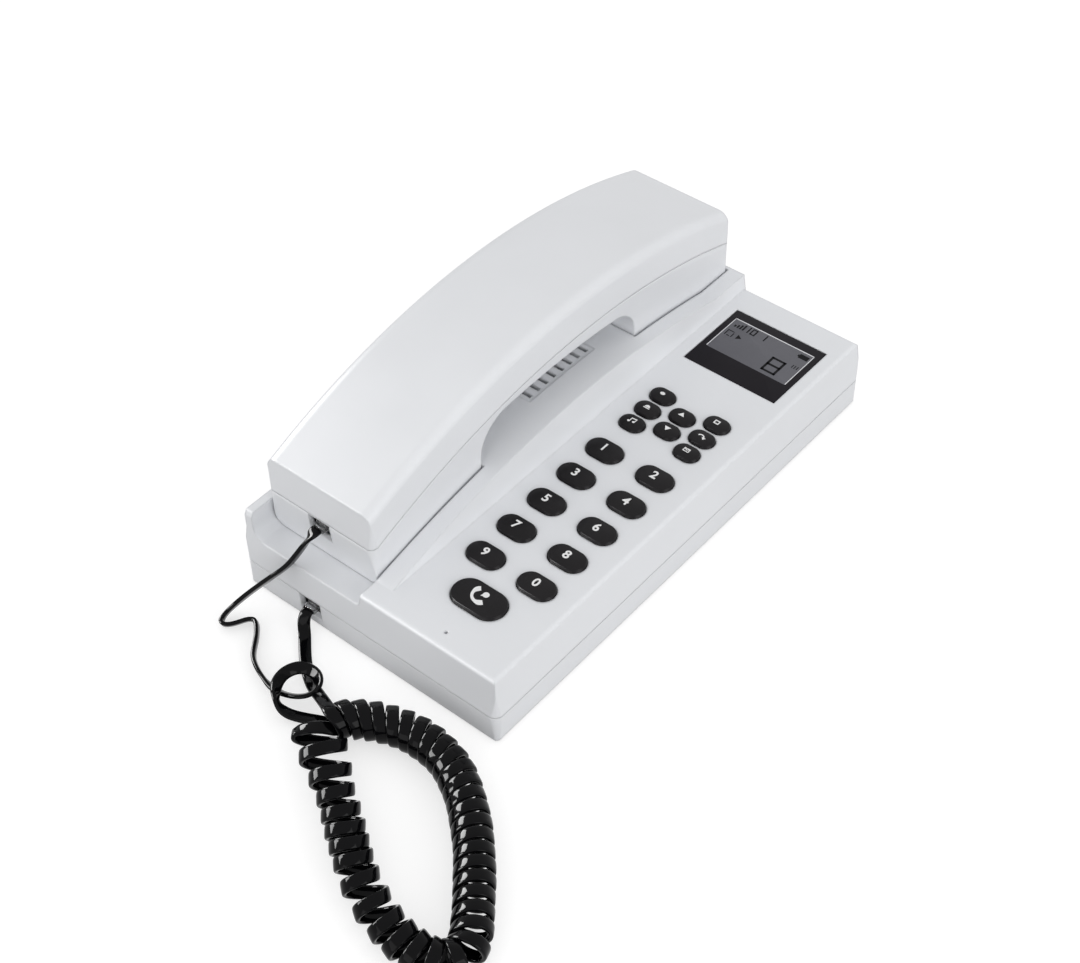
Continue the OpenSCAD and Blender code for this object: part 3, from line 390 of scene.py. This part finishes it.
def figure(name, text, size, centre, body, surface):
    """A printed figure: the font's outline made a mesh, stood at the centre and laid on the dome."""
    curve = bpy.data.curves.new(name, "FONT")
    curve.body, curve.size, curve.align_x, curve.align_y = text, size, "CENTER", "CENTER"
    curve.offset, curve.extrude, curve.resolution_u = FIGURE_BOLD * size, PRINT_THICK, 3
    lettering = bpy.data.objects.new(name, curve)
    bpy.context.scene.collection.objects.link(lettering)
    bpy.context.view_layer.update()
    settled = lettering.evaluated_get(bpy.context.evaluated_depsgraph_get())
    mesh = bpy.data.meshes.new_from_object(settled)
    bpy.data.objects.remove(lettering)
    flat = np.empty(len(mesh.vertices) * 3)
    mesh.vertices.foreach_get("co", flat)
    flat = flat.reshape(-1, 3)
    flat[:, :2] += np.asarray(centre) - (flat[:, :2].min(0) + flat[:, :2].max(0)) / 2
    flat[:, 2] += surface(flat[:, 0], flat[:, 1])
    mesh.vertices.foreach_set("co", (flat * MM).ravel())
    mesh.name = name
    piece = bpy.data.objects.new(name, mesh)
    bpy.context.scene.collection.objects.link(piece)
    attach(piece, body)
    dress(piece, key_print)


for digit in "1234567890":
    middle, crown = key_cap("key_" + digit)
    figure("key_" + digit + "_figure", digit, FIGURE_SIZE, middle + FIGURE_SHIFT,
           "key_" + digit + "_cap", crown)


def disc(centre, radius, flatten=1.0, start=0, stop=360):
    """Points round an ellipse, or a part of one: centre + radius (cos a, flatten sin a)."""
    a = np.radians(np.linspace(start, stop, 25))[:24 if stop - start == 360 else 25]
    return np.array(centre) + radius * np.stack([np.cos(a), flatten * np.sin(a)], -1)


def band(centre, radius, start, stop, width):
    """An arc band of changing width w: out along radius + w / 2, back along radius - w / 2."""
    a = np.radians(np.linspace(start, stop, 33))
    w = np.interp(np.linspace(0, 1, 33), np.linspace(0, 1, len(width)), width) / 2
    way = np.stack([np.cos(a), np.sin(a)], -1)
    outer, inner = way * (radius + w)[:, None], way * (radius - w)[:, None]
    return np.array(centre) + np.vstack([outer, inner[::-1]])


KEY_SIGNS = {
    "redial_key": [disc((0, 0), 1.0, 0.72)],
    "ring_key": [disc((0, -0.3), 1.05, 1.1, 0, 180), bar((-1.1, -0.75), (1.1, -0.75), 0.35)],
    "melody_key": [disc((-1.0, -0.8), 0.5, 0.8), disc((0.9, -0.5), 0.5, 0.8),
                   bar((-0.65, -0.7), (-0.65, 0.9), 0.32), bar((1.25, -0.4), (1.25, 1.1), 0.32),
                   bar((-0.6, 0.95), (1.2, 1.15), 0.45)],
    "up_key": [np.array([[-1.25, -0.8], [1.25, -0.8], [0, 1.1]])],
    "down_key": [np.array([[-1.25, 0.8], [0, -1.1], [1.25, 0.8]])],
    "menu_key": [bar((-0.85, -0.75), (0.85, -0.75), 0.45), bar((-0.85, 0.75), (0.85, 0.75), 0.45),
                 bar((-0.85, -0.75), (-0.85, 0.75), 0.45), bar((0.85, -0.75), (0.85, 0.75), 0.45)],
    "volume_key": [band((-0.2, -0.8), 1.3, 10, 150, [0.45]),
                   np.array([[0.3, -0.4], [1.9, -0.4], [1.1, -1.4]])],
    "ok_key": [bar((-1.1, -0.75), (1.1, -0.75), 0.3), bar((-1.1, 0.75), (1.1, 0.75), 0.3),
               bar((-1.1, -0.75), (-1.1, 0.75), 0.3), bar((1.1, -0.75), (1.1, 0.75), 0.3),
               bar((-1.0, 0.7), (0, -0.1), 0.3), bar((1.0, 0.7), (0, -0.1), 0.3)],
    "call_key": [band((0.6, 0.6), 3.1, 132, 318, [1.9, 2.0, 1.1, 1.0, 1.0, 1.1, 2.0, 1.9]),
                 disc((1.7, 1.7), 1.15), np.array([[0.7, 1.4], [1.4, 0.7], [0.4, 0.4]])],
}
SIGN_SHIFT, CALL_SIGN_SHIFT = np.array([-0.25, 0.25]), np.array([-0.4, 0.3])
for name, signs in KEY_SIGNS.items():
    middle, crown = key_cap(name)
    place = middle + (CALL_SIGN_SHIFT if name == "call_key" else SIGN_SHIFT)
    printed(name + "_sign", [sign + place for sign in signs], name + "_cap", key_print, crown)

# The handset is two white mouldings that meet at a seam along its side. Screws in the two cups
# hold them together, and a steel weight in the handle gives it a steady feel.
weight_steel = finish_of("weight_steel", (0.3, 0.3, 0.31), 0.45, tone=0.15, patch=300, grain=0.4,
                         metal=1.0)
dress(nodes["handset_lower_shell"], shell_white)
dress(nodes["handset_upper_shell"], shell_white)
dress(nodes["handset_weight"], weight_steel)
dress(nodes["earpiece_receiver"], cone_black)
dress(nodes["microphone_boot"], foot_rubber)

# A clear four-pin plug is crimped on each end of the cord and clicks into its socket.
plug_clear = finish_of("plug_clear", (0.93, 0.94, 0.95), 0.07, tone=0.02, patch=200, soft_edge=0.25,
                       clear=0.96)
dress(nodes["handset_plug"], plug_clear)
dress(nodes["base_plug"], plug_clear)


# The handset cord is one length of flat four-wire cord in glossy black vinyl. It leaves both
# sockets flat, and between them it is wound into a long coil whose first two turns stand open.
CORD_WIDTH, CORD_THICK, COIL_RADIUS, OPEN_RADIUS = 4.3, 1.6, 5.9, 7.9
handset_end = np.array([
    [-27.7, -95.1, 37.65], [-27.7, -96.1, 37.65], [-27.7, -97.1, 37.65], [-28.8, -100.4, 34],
    [-33.2, -104.8, 25], [-38.5, -109.4, 18.4], [-44.5, -114, 11], [-48.8, -118.5, 5],
    [-49.8, -122.6, 2.6], [-47.6, -125, 2.4], [-44.9, -122.4, 2.4], [-42.3, -117.5, 2.4],
    [-39.7, -116.9, 2.4], [-35, -121.3, 2.4], [-31.3, -126.2, 2.4], [-28.6, -129, 2.4],
    [-24.1, -131.4, 2.4], [-19.6, -132.9, 2.4]])
# The first turn lies open as a ring: each row is a place, the angle in plan to which the cord's
# face looks, and how far it looks down for each part that it looks out.
open_ring = np.array([
    [-15.8, -133.5, 2.4, 215, 1], [-12.4, -133.8, 2.6, 235, 1], [-9.1, -133.3, 3.1, 250, 1],
    [-6.2, -132.5, 3.8, 265, 1], [-3.6, -131.3, 4.6, 282, 1], [-1.8, -129.6, 5.2, 300, 1],
    [-1.3, -127.2, 5.6, 322, 1], [-2.3, -124.9, 5.8, 345, 1], [-4.3, -123.1, 5.9, 10, 1],
    [-6.9, -122.4, 6, 40, 1], [-9.3, -122.7, 6.1, 65, 1], [-11.6, -123.8, 6.2, 88, 1],
    [-12.9, -125.8, 6.3, 110, 1], [-13.6, -128.5, 6.5, 135, 1], [-13.3, -131.3, 6.7, 155, 1],
    [-12.2, -134, 6.9, 170, 1], [-10.6, -136.2, 6.9, 182, 0.75], [-9, -137.9, 6.4, 190, 0.35]])
# The second turn has not closed yet: each row is a place and the angle of the face about the turn,
# 0 downwards and 90 to the right.
open_loop = np.array([
    [-7.2, -138.9, 5.2, -80], [-5, -139, 4, -55], [-2.6, -138.2, 2.9, -32], [0.1, -136.8, 2.3, -14],
    [2.8, -135.4, 2.1, -2], [5.5, -134, 2.1, 8], [8.5, -133, 2.4, 28], [11.9, -132.8, 3.4, 58],
    [14.6, -133.6, 5, 90], [15.8, -135.3, 6.9, 122], [14.6, -136.9, 8.2, 150], [12.7, -138.5, 8.8, 172],
    [10.7, -140.1, 8.8, 190], [8.8, -141.8, 8.4, 215], [7.1, -143.2, 7.5, 240]])
TURN_SET, LOOP_SIDE, LOOP_SKEW, LOOP_TIP = np.radians(40.4), 0.97, 0.2, 0.15
coil_line = np.array([
    [12, -140.1], [21.1, -145.9], [28.5, -150.8], [35, -154.8], [40.9, -158.7], [45.8, -162.2],
    [50.5, -165.4], [55.4, -168.6], [61.1, -171.9], [69.6, -175.7], [77.8, -178.1], [85.7, -179.2],
    [93.3, -178.7], [98.9, -175.9], [100.8, -170.9], [99.4, -166.3], [96.4, -161.8], [91.8, -155.9],
    [85.6, -148.4], [78.8, -141], [71.2, -134], [62.9, -127.8], [54.1, -123.1], [45, -121],
    [35.9, -121], [27.5, -123.2], [20.3, -126.6], [15.4, -130.4], [12.8, -132.7]])
base_end = np.array([
    [13.2, -134.4, 12.7], [9.8, -132.7, 11.6], [5.2, -130.4, 9], [0.2, -127.9, 6], [-4.9, -125.3, 3.3],
    [-10, -122.1, 1.6], [-15.1, -118.3, 1.05], [-19.6, -114.1, 1], [-23.2, -110.4, 1.7], [-25.3, -108.4, 4.4],
    [-26, -106.6, 7.2], [-26, -105.6, 7.55], [-26, -104.8, 7.55]])
PITCH_AT = [0.5, 1.5, 2.5, 3.5, 4.5, 5.5, 6.5, 7.5, 8.5, 9.5, 10.5, 12, 16, 21, 60]
PITCH_OF = [10.8, 8.9, 7.7, 7.0, 6.1, 5.7, 5.8, 8.4, 9.4, 8.0, 6.2, 6.0, 5.5, 5.1, 5.0]
ASKEW_AT = [0, 0.12, 0.2, 0.3, 0.42, 0.62, 0.85, 1]
YAW_OF, LEAN_OF = [16, 16, 14, 8, 2, 0, -12, -26], [26, 33, 33, 26, 8, 0, 0, 0]
TAIL_AWAY, PLUG_ROWS = np.array([0.38, -0.42, 0.82]), 3
COIL_CLEAR, ROUTE_STEP, ROUNDINGS, CURVE_STEPS, FINE = 0.9, 0.7, 6, 12, 0.1
WIDE_UNTIL, COIL_FROM, WOBBLE, WOBBLE_RATE = 0.2, 2.8, 0.08, 1.7
MOST_TURNS, TURN_FINE = 90, 0.01
upright = np.array([0, 0, 1.0])


def unit(v):
    return v / np.linalg.norm(v, axis=-1, keepdims=True)


def ring_face(angle, fall):
    """The way out of the cord's face on the open ring: (cos a, sin a, -fall) made length 1, with a
    counted from the set of the turns."""
    a = np.radians(angle) + TURN_SET
    return unit(np.stack([np.cos(a), np.sin(a), -fall], -1))


def loop_face(angle):
    """The way out of the cord's face on the second turn: sin a side - cos a up - tip far made
    length 1, where side is a little skewed."""
    a = np.radians(angle)[:, None]
    right, far = np.array([[np.cos(TURN_SET), np.sin(TURN_SET), 0], [-np.sin(TURN_SET), np.cos(TURN_SET), 0]])
    side = LOOP_SIDE * right - LOOP_SKEW * far
    return unit(np.sin(a) * side - np.cos(a) * upright - LOOP_TIP * far)


def ease(x, low, high):
    """0 below low, 1 above high, and 3 t^2 - 2 t^3 between."""
    t = np.clip((x - low) / (high - low), 0, 1)
    return t * t * (3 - 2 * t)


def smooth_line(points, step):
    """The Catmull-Rom curve through the points, read at even steps of its own length: between b
    and c it is b + t/2 ((c - a) + t ((2a - 5b + 4c - d) + t (3(b - c) + d - a))). Columns after
    the third go along with the place."""
    p = np.vstack([points[:1], points, points[-1:]])
    t = np.linspace(0, 1, CURVE_STEPS, endpoint=False)[:, None, None]
    a, b, c, d = p[:-3], p[1:-2], p[2:-1], p[3:]
    line = b + t / 2 * ((c - a) + t * ((2 * a - 5 * b + 4 * c - d) + t * (3 * (b - c) + d - a)))
    line = np.vstack([line.transpose(1, 0, 2).reshape(-1, points.shape[1]), points[-1:]])
    steps = np.linalg.norm(np.diff(line[:, :3], axis=0), axis=1)
    along = np.concatenate([[0], np.cumsum(steps)])
    even = np.linspace(0, along[-1], max(int(along[-1] / step), 2) + 1)
    return np.stack([np.interp(even, along, line[:, k]) for k in range(line.shape[1])], axis=1)


def coil_turns(line, start_angle, end_turn, turn_steps=16):
    """The helix about a level line, centre + R (sin a side - cos a lift), which covers the line at
    the pitch given for each turn. Its turns are turned and leant by the angles given, and the first
    are wider. The columns are the place, then the way out from the axis."""
    axis = smooth_line(line, FINE)
    length = FINE * (len(axis) - 1)
    fine = np.arange(0, MOST_TURNS, TURN_FINE)
    reach = np.concatenate([[0], np.cumsum(TURN_FINE * np.interp(fine, PITCH_AT, PITCH_OF))])[:-1]
    whole = np.floor(np.interp(length, reach, fine)) + end_turn
    at = np.linspace(0, whole, int(whole * turn_steps) + 1)
    far = np.interp(at, fine, reach) * length / np.interp(whole, fine, reach)
    marks = np.arange(len(axis)) * FINE
    centre = np.stack([np.interp(far, marks, axis[:, 0]), np.interp(far, marks, axis[:, 1]), at * 0], 1)
    heading = unit(np.gradient(centre, axis=0))
    yaw, lean = (np.radians(np.interp(at / whole, ASKEW_AT, of))[:, None] for of in (YAW_OF, LEAN_OF))
    side = np.cos(yaw) * np.cross(upright, heading) + np.sin(yaw) * heading
    lift = np.cos(lean) * upright + np.sin(lean) * np.cross(side, upright)
    centre[:, 2] = (COIL_RADIUS * np.cos(lean) + CORD_WIDTH / 2 * np.sin(lean))[:, 0] + COIL_CLEAR
    wide = (OPEN_RADIUS - COIL_RADIUS) * (1 - ease(at, WIDE_UNTIL, COIL_FROM))
    wide = wide + WOBBLE * np.sin(at * WOBBLE_RATE)
    angle = (2 * np.pi * at + start_angle)[:, None]
    out = np.sin(angle) * side - np.cos(angle) * lift
    return np.hstack([centre + COIL_RADIUS * out + wide[:, None] * np.sin(angle) * side, out])


def facing(points, away):
    """The points with the way out of the ribbon beside them: square to the path and to away."""
    ahead = unit(np.gradient(points, axis=0))
    return np.hstack([points, unit(np.cross(away, ahead))])


open_turns = np.vstack([np.hstack([open_ring[:, :3], ring_face(open_ring[:, 3], open_ring[:, 4])]),
                        np.hstack([open_loop[:, :3], loop_face(open_loop[:, 3])])])
turns = coil_turns(coil_line, np.radians(-90), 0.6)
head = facing(handset_end, TAIL_AWAY)
head[:PLUG_ROWS, 3:] = upright
# The face keeps its side from one row to the next, and takes the ring's side where it meets it.
alike = np.sign((head[1:, 3:] * head[:-1, 3:]).sum(1))
head[:, 3:] *= np.cumprod(np.concatenate([[1], alike]))[:, None]
head[:, 3:] *= np.sign(head[-1, 3:] @ open_turns[0, 3:])
tail = np.hstack([base_end, np.tile(upright, (len(base_end), 1))])
route = smooth_line(np.vstack([head, open_turns, turns, tail]), ROUTE_STEP)
for _ in range(ROUNDINGS):
    # A running mean rounds the corners where the stretches of the cord meet.
    route[1:-1] = (route[:-2] + 2 * route[1:-1] + route[2:]) / 4


BROAD_POWER, DEEP_POWER, LOWEST = 0.6, 0.38, 0.05


def ribbon(path, out, width, thick, sides=16):
    """Rings of a flat cord along a path: path + w/2 c(a) broad - t/2 s(a) out, where c and s run
    round a squared circle, and broad is square to the path and to out."""
    ahead = unit(np.gradient(path, axis=0))
    out = unit(out - (out * ahead).sum(1, keepdims=True) * ahead)
    broad = np.cross(ahead, out)
    a = np.arange(sides) * 2 * np.pi / sides + np.pi / sides
    c = np.sign(np.cos(a)) * np.abs(np.cos(a)) ** BROAD_POWER
    s = np.sign(np.sin(a)) * np.abs(np.sin(a)) ** DEEP_POWER
    across, deep = width / 2 * c[:, None] * broad[:, None], thick / 2 * s[:, None] * out[:, None]
    rings = path[:, None] + across - deep
    rings[:, :, 2] = np.maximum(rings[:, :, 2], LOWEST)
    return rings


cord = add_piece("handset_cord", *skin(ribbon(route[:, :3], route[:, 3:], CORD_WIDTH, CORD_THICK)))
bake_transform(cord)
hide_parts("handset_cord_tail", "cord_coil", "base_cord_tail")
cord_black = finish_of("cord_black", (0.002, 0.002, 0.0025), 0.07, tone=0.2, patch=120, grain=0.04,
                       grain_size=2.5, gloss=0.1)
dress(cord, cord_black)


# The floor is a wide pale sheet under soft studio light. The camera sees it white, and it keeps
# the phone's shadow.
FLOOR_REACH, FLOOR_GREY, FLOOR_GLOW = 3000, 0.5, 0.62
WORLD_LIGHT, WORLD_SEEN = 0.82, 1.0
corners = FLOOR_REACH * np.array([[-1, -1, 0], [1, -1, 0], [1, 1, 0], [-1, 1, 0]])
floor = add_piece("floor", corners, [[0, 1, 2, 3]], smooth=False)


def rays(tree, *kinds):
    """1 for rays of these kinds and 0 for the others: the largest of the Light Path's outputs."""
    ray = tree.nodes.new("ShaderNodeLightPath")
    found = ray.outputs[kinds[0]]
    for kind in kinds[1:]:
        larger = tree.nodes.new("ShaderNodeMath")
        larger.operation = "MAXIMUM"
        tree.links.new(found, larger.inputs[0])
        tree.links.new(ray.outputs[kind], larger.inputs[1])
        found = larger.outputs[0]
    return found


sheet = bpy.data.materials.new("pale_sheet")
sheet.use_nodes = True
tree = sheet.node_tree
tree.nodes.clear()
end = tree.nodes.new("ShaderNodeOutputMaterial")
matt = tree.nodes.new("ShaderNodeBsdfDiffuse")
matt.inputs["Color"].default_value = (FLOOR_GREY, FLOOR_GREY, FLOOR_GREY, 1)
glow = tree.nodes.new("ShaderNodeEmission")
both = tree.nodes.new("ShaderNodeAddShader")
share = tree.nodes.new("ShaderNodeMath")
share.operation = "MULTIPLY"
share.inputs[1].default_value = FLOOR_GLOW
tree.links.new(rays(tree, "Is Camera Ray", "Is Glossy Ray"), share.inputs[0])
tree.links.new(share.outputs[0], glow.inputs["Strength"])
tree.links.new(matt.outputs[0], both.inputs[0])
tree.links.new(glow.outputs[0], both.inputs[1])
tree.links.new(both.outputs[0], end.inputs["Surface"])
dress(floor, sheet)

world = bpy.data.worlds.new("studio")
bpy.context.scene.world = world
world.use_nodes = True
tree = world.node_tree
sky = tree.nodes["Background"]
sky.inputs["Color"].default_value = (1, 1, 1, 1)
level = tree.nodes.new("ShaderNodeMapRange")
level.inputs["To Min"].default_value = WORLD_LIGHT
level.inputs["To Max"].default_value = WORLD_SEEN
seen = rays(tree, "Is Camera Ray", "Is Transmission Ray", "Is Glossy Ray")
tree.links.new(seen, level.inputs["Value"])
tree.links.new(level.outputs["Result"], sky.inputs["Strength"])
LAMPS_FACE = np.array([0, 0, 0.03])


def soft_lamp(name, place, size, watts, shine_only=False):
    """A square lamp of this size in metres that faces the phone. One that is for shine only is
    mirrored by the surfaces and gives them no other light."""
    lamp = bpy.data.objects.new(name, bpy.data.lights.new(name, "AREA"))
    lamp.data.size, lamp.data.energy = size, watts
    lamp.visible_diffuse = not shine_only
    back = unit(np.array(place, float) - LAMPS_FACE)
    across = unit(np.cross(upright, back))
    stand(lamp, across, np.cross(back, across), back, place)


soft_lamp("lamp_right", (1.35, -0.2, 0.5), 0.8, 5.5)
soft_lamp("lamp_front", (0.2, -1.4, 0.4), 0.8, 2.6)
soft_lamp("lamp_left", (-1.0, -0.15, 0.56), 0.5, 34.0, shine_only=True)
soft_lamp("lamp_low", (-0.72, -0.8, 0.5), 0.5, 27.0, shine_only=True)

bpy.context.scene.view_settings.view_transform = "Standard"
